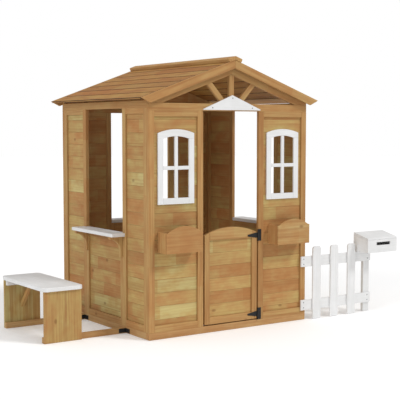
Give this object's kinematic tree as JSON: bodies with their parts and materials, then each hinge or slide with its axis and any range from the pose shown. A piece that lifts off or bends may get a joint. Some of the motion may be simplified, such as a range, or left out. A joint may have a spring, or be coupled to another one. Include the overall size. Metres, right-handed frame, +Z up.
{
  "type": "playhouse",
  "caption": "Children's garden playhouse in stained timber with white trim, half door, serving shelves, bench, picket fence and mailbox.",
  "frame": {"origin": "centre of the overall footprint, on the ground", "axes": "+X along the front from the bench to the fence and mailbox, +Y from the front (door) to the rear, +Z up"},
  "size_m": [2.019, 1.092, 1.3877],
  "materials": {
    "stained_frame": "satin stain",
    "stained_boards": "satin stain",
    "stained_roof": "satin stain",
    "white_paint": "satin paint",
    "black_metal": "satin powder coat",
    "screw_steel": "zinc plated"
  },
  "bodies": {
    "root": {"base_beams": "stained_boards", "side_wall_headers": "stained_frame", "front_left_panel_frame": "stained_frame", "front_left_panel_boards": "stained_boards", "front_right_panel_frame": "stained_frame", "front_right_panel_boards": "stained_boards", "left_front_panel_frame": "stained_frame", "left_front_panel_boards": "stained_boards", "left_rear_panel_frame": "stained_frame", "left_rear_panel_boards": "stained_boards", "left_lower_panel_frame": "stained_frame", "left_lower_panel_boards": "stained_boards", "right_front_panel_frame": "stained_frame", "right_front_panel_boards": "stained_boards", "right_rear_panel_frame": "stained_frame", "right_rear_panel_boards": "stained_boards", "right_lower_panel_frame": "stained_frame", "right_lower_panel_boards": "stained_boards", "back_left_panel_frame": "stained_frame", "back_left_panel_boards": "stained_boards", "back_right_panel_frame": "stained_frame", "back_right_panel_boards": "stained_boards", "back_lower_panel_frame": "stained_frame", "back_lower_panel_boards": "stained_boards", "left_window": "white_paint", "right_window": "white_paint", "left_flower_box": "stained_frame", "right_flower_box": "stained_frame", "left_shelf": "white_paint", "right_shelf": "white_paint", "back_shelf": "white_paint", "shelf_corbels": "stained_frame", "front_truss": "stained_frame", "back_truss": "stained_frame", "back_gable_boards": "stained_boards", "pediment": "white_paint", "left_roof_boards": "stained_roof", "right_roof_boards": "stained_roof", "ridge_boards": "stained_roof", "front_bargeboards": "stained_roof", "back_bargeboards": "stained_roof", "hinge_leaves": "black_metal", "hinge_pins": "black_metal", "leaf_screws": "black_metal", "rail_screws": "screw_steel", "bench_seat": "white_paint", "bench_sides": "stained_frame", "bench_cleats": "white_paint", "bench_braces": "stained_frame", "bench_rails": "stained_boards", "beam_brackets": "black_metal", "fence_rails": "white_paint", "fence_pickets": "white_paint", "fence_post": "white_paint", "mailbox_box": "white_paint", "mailbox_lid": "white_paint"},
    "door": {"door_frame": "stained_frame", "door_boards": "stained_boards", "hinge_straps": "black_metal", "strap_screws": "black_metal"}
  },
  "joints": [
    {"name": "door_swing", "type": "hinge", "parent": "root", "child": "door", "pos_m": [0.108, -0.445, 0.27], "axis": [0, 0, 1], "range_deg": [0, 110]}
  ]
}
